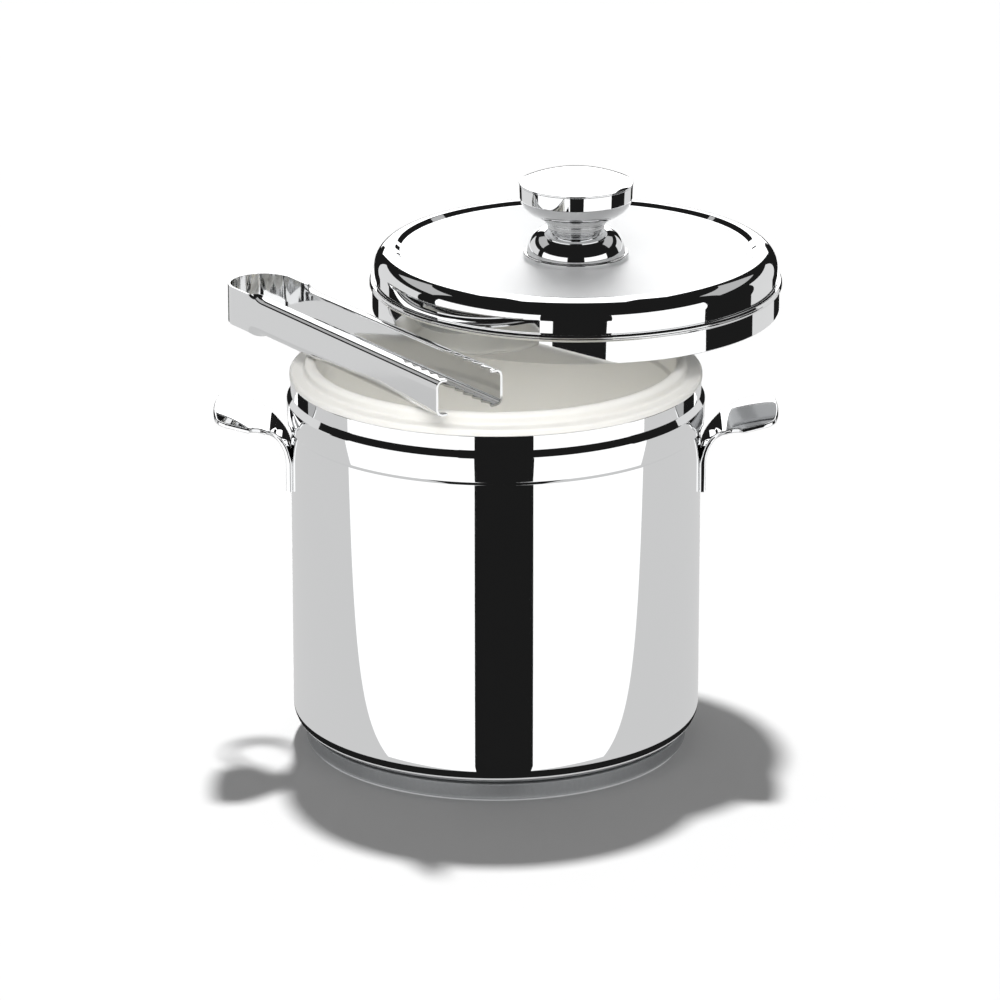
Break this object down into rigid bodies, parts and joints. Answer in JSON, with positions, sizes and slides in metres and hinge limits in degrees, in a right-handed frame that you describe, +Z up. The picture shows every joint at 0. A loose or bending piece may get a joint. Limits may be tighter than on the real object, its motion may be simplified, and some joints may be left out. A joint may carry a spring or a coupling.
{
  "type": "ice bucket",
  "caption": "Double-walled round ice bucket with plastic liner, lug handles, knobbed lid lifted aside and spring tongs resting across the rim.",
  "frame": {"origin": "centre of the bucket's underside, on the surface that it stands on", "axes": "+Z up along the bucket's axis, +X through the right-hand handle, -Y to the front"},
  "size_m": [0.2236, 0.2144, 0.2182],
  "materials": {
    "polished_steel": "mirror-polished stainless steel",
    "tongs_steel": "polished stainless steel strip",
    "satin_steel": "satin stainless steel",
    "bare_aluminium": "matt, fine turned grain",
    "white_plastic": "satin moulded, off-white",
    "foam": "expanded foam"
  },
  "bodies": {
    "bucket": {"outer_shell": "polished_steel", "base_core": "bare_aluminium", "base_plate": "satin_steel", "inner_liner": "white_plastic", "insulation_sleeve": "foam", "insulation_pad": "foam", "handle_left": "polished_steel", "handle_right": "polished_steel"},
    "lid": {"lid_shell": "polished_steel", "lid_skirt": "polished_steel", "lid_inner_pan": "satin_steel", "lid_insulation": "foam", "knob_base": "polished_steel", "knob_neck": "polished_steel", "knob_bowl": "polished_steel", "knob_cap": "polished_steel", "knob_insert": "satin_steel", "knob_washer": "satin_steel", "knob_screw": "satin_steel"},
    "tongs": {"tongs_bow": "tongs_steel"},
    "arm_front": {"tongs_arm_front": "tongs_steel"},
    "arm_back": {"tongs_arm_back": "tongs_steel"}
  },
  "joints": [
    {"name": "lid_lift", "type": "slide", "parent": "bucket", "child": "lid", "axis": [0, 0, 1], "range_m": [0, 0.15]},
    {"name": "tongs_lift", "type": "slide", "parent": "bucket", "child": "tongs", "axis": [0, 0, 1], "range_m": [0, 0.12]},
    {"name": "tongs_front_squeeze", "type": "hinge", "parent": "tongs", "child": "arm_front", "pos_m": [-0.09783, 0.03404, 0.16465], "axis": [0, 0, 1], "range_deg": [0, 3.6], "stiffness_Nm_per_rad": 2},
    {"name": "tongs_back_squeeze", "type": "hinge", "parent": "tongs", "child": "arm_back", "pos_m": [-0.0757, 0.0488, 0.16465], "axis": [0, 0, 1], "range_deg": [-3.6, 0]}
  ],
  "couplings": [
    {"joint": "tongs_back_squeeze", "follows": "tongs_front_squeeze", "ratio": -1}
  ]
}
